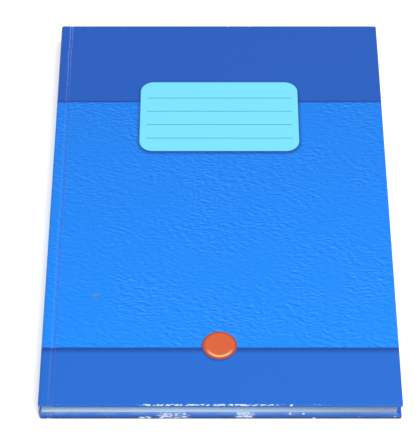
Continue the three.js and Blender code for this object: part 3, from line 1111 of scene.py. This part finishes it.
@dataclass
class CaseHalf:
    """One printed half of the case, from the middle of the spine to its cover's turned-in edges.

    It is laid out flat first: the outer face, then ring after ring round the tail, fore and head
    edges to the cut edge inside. Then it is bent round the spine and into the joint.
    """

    side: Side
    sizes: BookSizes
    sheet: float = 0.16
    edge_radius: float = 0.35
    corner_radius: float = 0.8
    shoulder_radius: float = 1.5
    groove_width: float = 2.8
    groove_depth: float = 0.5
    groove_end: Pair = (12.0, 1.0)
    groove_end_rise: float = 0.6
    joint_core: float = 1.25
    strip_edge: Pair = (-0.4, 0.7)
    board_step: Pair = (-0.45, 0.12)
    near_board: Triple = (-0.5, 0.3, 0.8)
    rim_width: float = 1.0
    pitches: tuple[float, ...] = (1.0, 0.24, 0.7, 0.16, 0.08, 0.16, 2.2)
    round_steps: int = 5
    near_edge: Triple = (0.6, 0.3, 0.0)
    inner_rings: tuple[float, ...] = (1.2, 2.4, 4.0, 8.0, 12.0)
    edge_unevenness: float = 0.035
    uneven_reach: float = 1.5
    ripple_scale: float = 0.5
    ripple_ease: float = 4.0
    tiny: float = 0.001
    weld: float = 0.0005

    @property
    def shoulder_start(self) -> float:
        """Where the spine's flat ends and its round shoulder begins, below zero."""
        return self.shoulder_radius * (1 - QUARTER_TURN)

    @property
    def spine_middle(self) -> float:
        """Distance across at the middle of the spine, below zero round the shoulder."""
        return self.shoulder_start - self.sizes.thickness / 2 + self.shoulder_radius

    @property
    def groove_start(self) -> float:
        """Where the joint's groove begins, counted from the spine."""
        return self.sizes.board_edge - self.groove_width

    def core_depth(self, across: float) -> float:
        """Depth of the turned-in face, over the spine strip, in the joint or on the board.

        Args:
            across: Distance from the spine along the outer face.

        Returns:
            The depth below the outer face.
        """
        sizes = self.sizes
        strip_depth = sizes.strip_inner + self.sheet
        strip = 1 - smooth_step(across, *(self.shoulder_start + step for step in self.strip_edge))
        board = smooth_step(across, *(sizes.board_edge + step for step in self.board_step))
        return (
            self.joint_core
            + (strip_depth - self.joint_core) * strip
            + (sizes.cover_skin_depth - self.joint_core) * board
        )

    def dip(self, across: float, up: float) -> float:
        """Depth of the groove that is pressed into the joint, shallower at its ends.

        Args:
            across: Distance from the spine along the outer face.
            up: Place along the spine.

        Returns:
            The depth.
        """
        share = (across - self.groove_start) / self.groove_width
        if not 0 < share < 1:
            return 0.0
        start, end = (self.sizes.head - inset for inset in self.groove_end)
        press = 1 - self.groove_end_rise * smooth_step(abs(up), start, end)
        return press * self.groove_depth * (1 - math.cos(2 * math.pi * share)) / 2

    def bend(self, across: float, up: float, share: float) -> Pair:
        """Bends a point of the flat case round the spine.

        Args:
            across: Distance from the spine along the outer face.
            up: Place along the spine.
            share: Share of the way from the outer face to the turned-in face.

        Returns:
            Its x and its depth below the cover's outer face.
        """
        radius = self.shoulder_radius
        turn = (radius - across) / radius
        dip = self.dip(across, up)
        depth = share * (self.core_depth(across) - dip)
        if turn <= 0:
            return across, dip + depth
        if turn < QUARTER_TURN:
            return (
                radius - (radius - depth) * math.sin(turn),
                radius - (radius - depth) * math.cos(turn),
            )
        return depth, radius + (turn - QUARTER_TURN) * radius

    def round_corner(self, across: float, up: float) -> Pair:
        """Draws a point near a fore corner in to the corner's round.

        Args:
            across: Distance from the spine.
            up: Place along the spine.

        Returns:
            The point's new place, across and up.
        """
        radius = self.corner_radius
        u = across - (self.sizes.fore - radius)
        v = abs(up) - (self.sizes.head - radius)
        if u <= 0 or v <= 0:
            return across, up
        reach = max(u, v)
        angle = QUARTER_TURN / 2 * (v / u if u >= v else 2 - u / v)
        new_up = self.sizes.head - radius + reach * math.sin(angle)
        return self.sizes.fore - radius + reach * math.cos(angle), math.copysign(new_up, up)

    def rings(self) -> list[Triple]:
        """The rings round the edge, from the outer face to the cut edge inside.

        Returns:
            For each ring how far it lies inside the edge, its share of the skin's depth, and the
            distance travelled from the edge of the flat face.
        """
        radius = self.edge_radius
        skin = self.sizes.cover_skin_depth
        angles = [QUARTER_TURN * step / self.round_steps for step in range(self.round_steps + 1)]
        found = [
            (radius * (1 - math.sin(angle)), radius * (1 - math.cos(angle)) / skin, radius * angle)
            for angle in angles[1:]
        ]
        side_end = radius * QUARTER_TURN + skin - 2 * radius
        found += [
            (radius * (1 - math.cos(angle)), 1 - radius * (1 - math.sin(angle)) / skin,
             side_end + radius * angle)
            for angle in angles
        ]
        edge_end = found[-1][2]
        found += [(inset, 1.0, edge_end + inset - radius)
                  for inset in (*self.inner_rings, self.sizes.turn_in)]
        return found

    def outer_face(self) -> tuple[list[float], list[float]]:
        """Stations of the outer face, close together where it bends.

        Returns:
            The stations across and up.
        """
        board = self.sizes.board_edge
        fore = self.sizes.fore - self.edge_radius
        top = self.sizes.head - self.edge_radius
        ends = (self.shoulder_start, self.shoulder_radius, self.groove_start,
                *(board + step for step in self.near_board), fore - self.rim_width)
        across = stations(self.spine_middle, *zip(ends, self.pitches))
        up = stations(self.rim_width - top, (top - self.rim_width, self.pitches[-1]))
        return (
            [*across, *(fore - step for step in self.near_edge)],
            [*(-top + step for step in reversed(self.near_edge)), *up,
             *(top - step for step in self.near_edge)],
        )

    def fold(self, bm: Mesh, places: dict[Vert, Pair]) -> None:
        """Extrudes the rings round the three open edges, still laid out flat.

        Args:
            bm: The mesh with the outer face.
            places: Place on the sheet by vertex; the new ones are added.
        """
        fore, head, tiny = self.sizes.fore, self.sizes.head, self.tiny
        inset = self.edge_radius
        made = list(bm.edges)
        for next_inset, share, travel in self.rings():
            rim = [item for item in made if isinstance(item, bmesh.types.BMEdge) and item.is_boundary
                   and any(abs(vert.co.x - self.spine_middle) > tiny for vert in item.verts)]
            made = bmesh.ops.extrude_edge_only(bm, edges=rim)["geom"]
            for vert in (item for item in made if isinstance(item, Vert)):
                on_fore = abs(vert.co.x - (fore - inset)) < tiny
                on_end = abs(abs(vert.co.y) - (head - inset)) < tiny
                x = fore - next_inset if on_fore else min(vert.co.x, fore - next_inset)
                y = head - next_inset if on_end else min(abs(vert.co.y), head - next_inset)
                depth = share * self.sizes.cover_skin_depth
                vert.co = Vector((x, math.copysign(y, vert.co.y), depth))
                u = fore - self.edge_radius + travel if on_fore else x
                v = head - self.edge_radius + travel if on_end else y
                places[vert] = (u, head + math.copysign(v, vert.co.y))
            inset = next_inset

    def shape(self, bm: Mesh) -> None:
        """Bends the flat case into its place on the book.

        Args:
            bm: The flat case.
        """
        sizes = self.sizes
        for vert in bm.verts:
            across, up = self.round_corner(vert.co.x, vert.co.y)
            share = vert.co.z / sizes.cover_skin_depth
            on_edge = min(1.0, share * self.ripple_ease) * min(1.0, (1 - share) * self.ripple_ease)
            ripple = noise.noise(Vector((across * self.ripple_scale, up * self.ripple_scale, share)))
            shift = min(0.0, self.edge_unevenness * (on_edge * ripple - 0.5))
            if abs(up) > sizes.head - self.uneven_reach:
                up += math.copysign(shift, up)
            elif across > sizes.fore - self.uneven_reach:
                across += shift
            x, below = self.bend(across, up, share)
            vert.co = Vector((x, up, sizes.z_of(self.side, below)))

    def build(self, finish: Material) -> Piece:
        """Makes the printed half.

        Args:
            finish: The printed material.

        Returns:
            The piece.
        """
        side = self.side.value
        bm = bmesh.new()
        stretch_grid(bm, *self.outer_face())
        places = {vert: (vert.co.x, vert.co.y + self.sizes.head) for vert in bm.verts}
        self.fold(bm, places)
        write_map(bm, places)
        self.shape(bm)
        bmesh.ops.remove_doubles(bm, verts=bm.verts, dist=self.weld)
        if self.side is Side.BACK:
            bmesh.ops.reverse_faces(bm, faces=bm.faces)
        piece = place_object(f"{side}_printed_case", bm, finish)
        thicken(piece, self.sheet, -1.0)
        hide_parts(f"{side}_cover_wrap", "spine_wrap")
        self.sizes.at(self.groove_start)
        self.sizes.at(self.sizes.board_edge)
        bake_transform(piece)
        return piece


@dataclass
class TurningSheet:
    """A leaf that turns: flat out to its fore edge, and settling out of the fold near the spine."""

    name: str
    node: str
    side: Side
    sizes: BookSizes
    fold_depth: float
    depth: float
    thickness: float
    start: float
    bend_end: float
    slot: str
    bend_start: float = 4.3
    pitches: Triple = (0.4, 0.35, 20.0)
    pitch_up: float = 25.0

    def build(self, stock: Stock) -> Piece:
        """Makes the sheet.

        Args:
            stock: The sheet's materials.

        Returns:
            The piece.
        """
        sizes = self.sizes
        ends = (self.bend_start, self.bend_end, sizes.leaf_fore)
        across = stations(self.start, *zip(ends, self.pitches))
        up = stations(-sizes.leaf_head, (sizes.leaf_head, self.pitch_up))
        bm = bmesh.new()
        places = {}
        for vert in stretch_grid(bm, across, up):
            x, y = vert.co.x, vert.co.y
            settle = smooth_step(x, self.start, self.bend_start)
            depth = self.fold_depth + (self.depth - self.fold_depth) * settle
            places[vert] = (x, y + sizes.head)
            vert.co = Vector((x, y, sizes.z_of(self.side, depth)))
        write_map(bm, places)
        piece = place_object(self.name, bm, *stock)
        thicken(piece, self.thickness, 0.0, rim=1)
        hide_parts(self.node)
        sizes.at(self.bend_start)
        sizes.at(self.bend_end)
        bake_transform(piece)
        return piece


@dataclass
class Endpaper:
    """Folded endpaper of one side: a pasted half, a flyleaf, and the fold between them."""

    side: Side
    sizes: BookSizes
    sink: float = 0.13
    press: float = 0.02
    fold_tail: float = 0.6
    fold_steps: int = 5
    path_start: float = 0.4
    board_run: float = 1.0
    window_edge: Pair = (-1.2, 0.6)
    sink_start: Pair = (0.2, 1.4)
    sink_end: float = 1.1
    pitches: tuple[float, ...] = (0.3, 8.0, 0.3, 5.0)
    pitches_up: Triple = (12.0, 0.3, 4.0)
    joint_start: float = 4.3
    flyleaf_bend_end: float = 9.0

    def pasted_path(self) -> list[Pair]:
        """Middle line of the pasted half, from under the flyleaf round the fold to the fore edge.

        Returns:
            Points of x and depth.
        """
        sizes = self.sizes
        radius = sizes.endpaper / 2
        flyleaf = sizes.flyleaf_depth + radius
        pasted = sizes.flyleaf_depth - radius
        fold_x = sizes.block_spine + sizes.endpaper
        path = [(fold_x + self.fold_tail, flyleaf)]
        for step in range(self.fold_steps + 1):
            angle = math.pi * step / self.fold_steps
            path.append((fold_x - radius * math.sin(angle),
                         (flyleaf + pasted) / 2 + radius * math.cos(angle)))
        window = sizes.fore - sizes.turn_in
        ends = (sizes.board_edge + self.board_run, *(window + step for step in self.window_edge),
                sizes.pastedown_fore)
        path += [(x, pasted - self.press * smooth_step(x, fold_x, sizes.board_edge))
                 for x in stations(fold_x + self.path_start, *zip(ends, self.pitches))]
        return path

    def build_pasted(self, stock: Stock) -> Piece:
        """Makes the pasted half with the fold, sunk inside the turned-in margins.

        Args:
            stock: The endpaper's materials.

        Returns:
            The piece.
        """
        sizes = self.sizes
        side = self.side.value
        path = self.pasted_path()
        board = sizes.board_edge
        window_fore = sizes.fore - sizes.turn_in
        window_head = sizes.head - sizes.turn_in
        ends = (*(window_head + step for step in self.window_edge), sizes.pastedown_head)
        half = stations(0.0, *zip(ends, self.pitches_up))
        up = [-value for value in reversed(half[1:])] + half
        bm = bmesh.new()
        places = {}
        for vert in stretch_grid(bm, [float(index) for index in range(len(path))], up):
            x, depth = path[round(vert.co.x)]
            y = vert.co.y
            is_wide = 1 - smooth_step(x, sizes.block_spine, board)
            y *= 1 + (sizes.leaf_head / sizes.pastedown_head - 1) * is_wide
            sunk = smooth_step(x, *(board + step for step in self.sink_start))
            sunk *= 1 - smooth_step(x, window_fore - self.sink_end, window_fore)
            sunk *= 1 - smooth_step(abs(y), window_head - self.sink_end, window_head)
            places[vert] = (x, y + sizes.head)
            vert.co = Vector((x, y, sizes.z_of(self.side, depth - self.sink * sunk)))
        write_map(bm, places)
        piece = place_object(f"{side}_pasted_endpaper", bm, *stock)
        thicken(piece, sizes.endpaper, 0.0, rim=1)
        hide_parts(f"{side}_pastedown", f"{side}_endpaper_fold")
        sizes.at(self.joint_start)
        sizes.at(board)
        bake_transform(piece)
        return piece

    def build_flyleaf(self, stock: Stock) -> Piece:
        """Makes the free half.

        Args:
            stock: The endpaper's materials.

        Returns:
            The piece.
        """
        sizes = self.sizes
        depth = sizes.flyleaf_depth + sizes.endpaper / 2
        return TurningSheet(
            name=f"{self.side.value}_free_endpaper",
            node=f"{self.side.value}_flyleaf",
            side=self.side,
            sizes=sizes,
            fold_depth=depth,
            depth=depth,
            thickness=sizes.endpaper,
            start=sizes.block_spine + sizes.endpaper + self.fold_tail,
            bend_end=self.flyleaf_bend_end,
            slot="endpaper",
        ).build(stock)


@dataclass
class TextBlock:
    """The sewn sections and the leaves that turn, each sheet folded once and nested."""

    sizes: BookSizes
    front_leaves: int = 5
    back_leaves: int = 3
    leaf_count: int = 100
    section_count: int = 10
    released_tail: float = 0.5
    leaf_bend_end: float = 14.0
    pressed_share: float = 0.94
    cut_unevenness: float = 0.05
    fore_seed: Triple = (1.7, 0.3, 5.1)
    tail_seed: Triple = (2.3, 4.7, 1.9)
    fold_steps: int = 6
    settle_runs: Triple = (0.7, 1.4, 2.1)
    settle_end: float = 2.0
    block_middle: float = 60.0
    sewn_reach: float = 115.8
    end_swell: float = 0.5
    swell_reach: float = 3.0

    @property
    def leaves_per_section(self) -> int:
        """Leaves in each section, two to a folded sheet."""
        return self.leaf_count // self.section_count

    @property
    def leaf_gap(self) -> float:
        """Air between two leaves that turn."""
        return (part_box("leaf_001")[0].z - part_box("leaf_002")[1].z) / MM

    def unevenness(self, leaf: int, seed: Triple) -> float:
        """How far the knife's cut wanders at one leaf."""
        return self.cut_unevenness * noise.noise(Vector((leaf * seed[0], *seed[1:])))

    def fold_place(self, leaf: int) -> float:
        """Height of one leaf's middle in its section's fold.

        Args:
            leaf: The leaf's number, counted from one.

        Returns:
            The height.
        """
        section, order = divmod(leaf - 1, self.leaves_per_section)
        low, high = (corner.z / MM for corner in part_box(f"section_{section + 1:02d}"))
        return high - (order + 0.5) * (high - low) / self.leaves_per_section

    def slab_place(self, leaf: int) -> float | None:
        """Height of one leaf's middle in the block.

        Args:
            leaf: The leaf's number.

        Returns:
            The height, or None for a leaf that turns.
        """
        if leaf <= self.front_leaves or leaf > self.leaf_count - self.back_leaves:
            return None
        lowest_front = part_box(f"leaf_{self.front_leaves:03d}")[0].z / MM
        return lowest_front - self.leaf_gap - (leaf - self.front_leaves - 0.5) * self.sizes.leaf

    def arm(self, bm: Mesh, leaf: int, fold_x: float) -> list[Vert]:
        """Points of one leaf from its fold outwards.

        Args:
            bm: The section's mesh.
            leaf: The leaf's number.
            fold_x: Where the round of the fold ends.

        Returns:
            The vertices, the fold's first.
        """
        sizes = self.sizes
        fold = self.fold_place(leaf)
        slab = self.slab_place(leaf)
        points = [(fold_x, fold)]
        if slab is None:
            points.append((sizes.block_spine + self.released_tail, fold))
        else:
            uneven = self.unevenness(leaf, self.fore_seed)
            points += [(fold_x + run, fold + (slab - fold) * smooth_step(run, 0, self.settle_end))
                       for run in self.settle_runs]
            points += [(self.block_middle, slab),
                       (sizes.leaf_fore + uneven - self.cut_unevenness / 2, slab)]
        return [bm.verts.new((x, 0.0, z)) for x, z in points]

    def folded_edge(self, bm: Mesh, number: int, order: int) -> tuple[list[Vert], float]:
        """Lays out the tail edge of one folded sheet of a section.

        Args:
            bm: The section's mesh.
            number: The section's number.
            order: Which sheet it is, the outermost zero.

        Returns:
            The edge's vertices from leaf to leaf, and how far the sheet reaches up and down.
        """
        sizes = self.sizes
        first = (number - 1) * self.leaves_per_section + 1
        upper = first + order
        lower = first + self.leaves_per_section - 1 - order
        radius = (self.fold_place(upper) - self.fold_place(lower)) / 2
        middle = (self.fold_place(upper) + self.fold_place(lower)) / 2
        fold_x = sizes.block_spine + (order + 0.5) * sizes.leaf + radius
        chain = list(reversed(self.arm(bm, upper, fold_x)))
        for step in range(1, self.fold_steps):
            angle = math.pi * step / self.fold_steps
            chain.append(bm.verts.new((fold_x - radius * math.sin(angle), 0.0,
                                       middle + radius * math.cos(angle))))
        chain += self.arm(bm, lower, fold_x)
        uneven = self.unevenness(upper, self.tail_seed)
        return chain, sizes.leaf_head - self.cut_unevenness / 2 + uneven / 2

    def add_folded_sheet(self, bm: Mesh, number: int, order: int, places: dict[Vert, Pair]) -> None:
        """Adds one folded sheet to a section, swelling a little past the sewing.

        Args:
            bm: The section's mesh.
            number: The section's number.
            order: Which sheet it is, the outermost zero.
            places: Place on the page by vertex; the new ones are added.
        """
        chain, reach = self.folded_edge(bm, number, order)
        edges = [bm.edges.new(pair) for pair in zip(chain, chain[1:])]
        bmesh.ops.translate(bm, vec=(0, -reach, 0), verts=chain)
        half = (reach, (reach + self.sewn_reach) / 2, self.sewn_reach)
        stops = [-value for value in half] + list(reversed(half))
        verts = list(chain)
        for here, there in zip(stops, stops[1:]):
            made = bmesh.ops.extrude_edge_only(bm, edges=edges)["geom"]
            row = [item for item in made if isinstance(item, Vert)]
            edges = [item for item in made if isinstance(item, bmesh.types.BMEdge)
                     and all(vert in row for vert in item.verts)]
            bmesh.ops.translate(bm, vec=(0, there - here, 0), verts=row)
            verts += row
        spine = self.sizes.block_spine
        for vert in verts:
            loose = smooth_step(abs(vert.co.y), self.sewn_reach, reach)
            near_fold = 1 - smooth_step(vert.co.x, spine, spine + self.swell_reach)
            vert.co.x -= self.end_swell * loose * near_fold
            places[vert] = (vert.co.x, vert.co.y + self.sizes.head)

    def build_section(self, number: int, stock: Stock) -> Piece:
        """Makes one sewn section of nested sheets.

        Args:
            number: The section's number from the front.
            stock: The sheets' materials.

        Returns:
            The piece.
        """
        bm = bmesh.new()
        places = {}
        for order in range(self.leaves_per_section // 2):
            self.add_folded_sheet(bm, number, order, places)
        write_map(bm, places)
        piece = place_object(f"section_{number:02d}_sheets", bm, *stock)
        thicken(piece, self.sizes.leaf * self.pressed_share, 0.0, rim=1)
        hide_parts(f"section_{number:02d}")
        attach(piece, "text_block")
        return piece

    def build_leaf(self, number: int, side: Side, stock: Stock) -> Piece:
        """Makes one leaf that turns.

        Args:
            number: The leaf's number from the front.
            side: The side it turns with.
            stock: The leaf's materials.

        Returns:
            The piece.
        """
        low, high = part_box(f"leaf_{number:03d}")
        return TurningSheet(
            name=f"leaf_{number:03d}_sheet",
            node=f"leaf_{number:03d}",
            side=side,
            sizes=self.sizes,
            fold_depth=self.sizes.z_of(side, self.fold_place(number)),
            depth=self.sizes.z_of(side, (low.z + high.z) / 2 / MM),
            thickness=self.sizes.leaf,
            start=self.sizes.block_spine + self.released_tail,
            bend_end=self.leaf_bend_end,
            slot="leaf_paper",
        ).build(stock)

    def build(self, section_stock: Stock, leaf_stock: Stock) -> list[Piece]:
        """Makes the whole block.

        Args:
            section_stock: The materials of the sections, which lie still.
            leaf_stock: The materials of the leaves that turn.

        Returns:
            The pieces.
        """
        made = [self.build_section(number + 1, section_stock) for number in range(self.section_count)]
        made += [self.build_leaf(number + 1, Side.FRONT, leaf_stock)
                 for number in range(self.front_leaves)]
        made += [self.build_leaf(number + 1, Side.BACK, leaf_stock)
                 for number in range(self.leaf_count - self.back_leaves, self.leaf_count)]
        return made


@dataclass(frozen=True)
class CarriedOver:
    """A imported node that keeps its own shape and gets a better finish."""

    node: str
    finish: Material

    def dress(self) -> None:
        """Puts the finish on the node."""
        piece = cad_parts[self.node]
        piece.data.materials.clear()
        piece.data.materials.append(self.finish)


@dataclass(frozen=True)
class PaleTable(NodeWork):
    """Matt painted table top, which the camera sees a little lighter than the lamps leave it."""

    name: str = "pale_table"
    colour: str = "F4F4F4"
    bounce: str = "B4B4B4"
    lift: float = 0.41

    def build(self) -> Material:
        """Makes the table's material.

        Returns:
            The material.
        """
        by_camera = self.add("LightPath", output="Is Camera Ray")
        by_gloss = by_camera.node.outputs["Is Glossy Ray"]
        seen = self.add("Math", {0: by_camera, 1: by_gloss}, operation="MAXIMUM")
        ends = {UNDER: linear(self.bounce), OVER: linear(self.colour)}
        paint = self.add("Mix", {0: seen, **ends}, output=MIXED, data_type="RGBA")
        matt = self.add("BsdfDiffuse", {"Color": paint})
        lift = self.add("Math", {0: by_camera, 1: self.lift}, operation="MULTIPLY")
        glow = self.add("Emission", {"Strength": lift})
        self.end(self.add("AddShader", {0: matt, 1: glow}))
        return self.owner


@dataclass(frozen=True)
class Backdrop(NodeWork):
    """Even light from all round, which the camera sees as white."""

    name: str = "studio"
    strength: float = 0.66

    @cached_property
    def owner(self) -> bpy.types.World:
        """The new world."""
        return bpy.data.worlds.new(self.name)

    def build(self) -> None:
        """Makes the scene's world."""
        by_camera = self.add("LightPath", output="Is Camera Ray")
        strength = self.add("MapRange", Ramp(0.0, 1.0, self.strength, 1.0).of(by_camera))
        glow = self.add("Background", {"Color": (1, 1, 1, 1), "Strength": strength})
        self.end(glow, "OutputWorld")
        bpy.context.scene.world = self.owner


@dataclass(frozen=True)
class Softbox:
    """A square lamp aimed at the book, with its place and side in metres and its power in watts."""

    name: str
    place: Triple
    size: float
    power: float

    def build(self) -> None:
        """Hangs the lamp."""
        data = bpy.data.lights.new(self.name, "AREA")
        data.size = self.size
        data.energy = self.power
        lamp = bpy.data.objects.new(self.name, data)
        lamp.location = self.place
        lamp.rotation_euler = (-Vector(self.place)).to_track_quat("-Z", "Y").to_euler()
        bpy.context.scene.collection.objects.link(lamp)


@dataclass
class Studio:
    """Pale table, soft light and the photograph's camera."""

    floor_size: float = 6.0
    key: Softbox = Softbox("key_light", (0.3, -1.05, 1.0), 0.4, 10.5)
    fill: Softbox = Softbox("fill_light", (0.9, 0.3, 1.1), 1.2, 4.0)
    camera_place: Triple = (-0.0048, -0.6871, 0.81023)
    camera_tilt: float = 40.135
    camera_lens: float = 170.26
    sensor: float = 36.0

    def floor(self) -> None:
        """Makes the table top."""
        bm = bmesh.new()
        bmesh.ops.create_grid(bm, x_segments=1, y_segments=1, size=self.floor_size / 2)
        mesh = bpy.data.meshes.new("floor")
        bm.to_mesh(mesh)
        bm.free()
        mesh.materials.append(PaleTable().build())
        floor = bpy.data.objects.new("floor", mesh)
        bpy.context.scene.collection.objects.link(floor)

    def camera(self) -> None:
        """Makes the camera that sees the book as the photograph does."""
        data = bpy.data.cameras.new("camera")
        data.lens = self.camera_lens
        data.sensor_width = self.sensor
        camera = bpy.data.objects.new("camera", data)
        camera.location = self.camera_place
        camera.rotation_euler = (math.radians(self.camera_tilt), 0.0, 0.0)
        bpy.context.scene.collection.objects.link(camera)
        bpy.context.scene.camera = camera

    def build(self) -> None:
        """Sets up floor, light and camera."""
        bpy.context.scene.view_settings.view_transform = "Standard"
        self.camera()
        self.floor()
        Backdrop().build()
        self.key.build()
        self.fill.build()


def main() -> None:
    """Builds the dressed book and its studio."""
    logging.basicConfig(level=logging.INFO, format="%(name)s: %(message)s")
    sizes = read_sizes()
    Studio().build()
    block_edge = CutEdge(is_mapped=False).build()
    sheet_edge = CutEdge(is_mapped=True).build()
    endpaper = Stock(
        WritingPaper(name="endpaper_stock", colour="F3F1EB", cloud="EAE7DF", is_ruled=False).build(),
        sheet_edge,
    )
    leaf_paper = WritingPaper().build()
    pieces: list[Piece] = []
    for side in Side:
        print_finish = PrintedCover(side, 2 * sizes.head).build()
        ends = Endpaper(side, sizes)
        pieces.append(CaseHalf(side, sizes).build(print_finish))
        pieces.append(ends.build_pasted(endpaper))
        pieces.append(ends.build_flyleaf(endpaper))
    pieces += TextBlock(sizes).build(Stock(leaf_paper, block_edge), Stock(leaf_paper, sheet_edge))
    board = PressedBoard().build()
    carried = {
        "front_board": board,
        "back_board": board,
        "spine_strip": board,
        "mull": StarchedGauze().build(),
        "kraft_liner": KraftPaper().build(),
        "sewing_thread": TwistedThread().build(),
    }
    for node, finish in carried.items():
        CarriedOver(node, finish).dress()
    for piece in pieces:
        LOG.info("%s: %d faces", piece.name, len(piece.data.polygons))


if __name__ == "__main__":
    main()
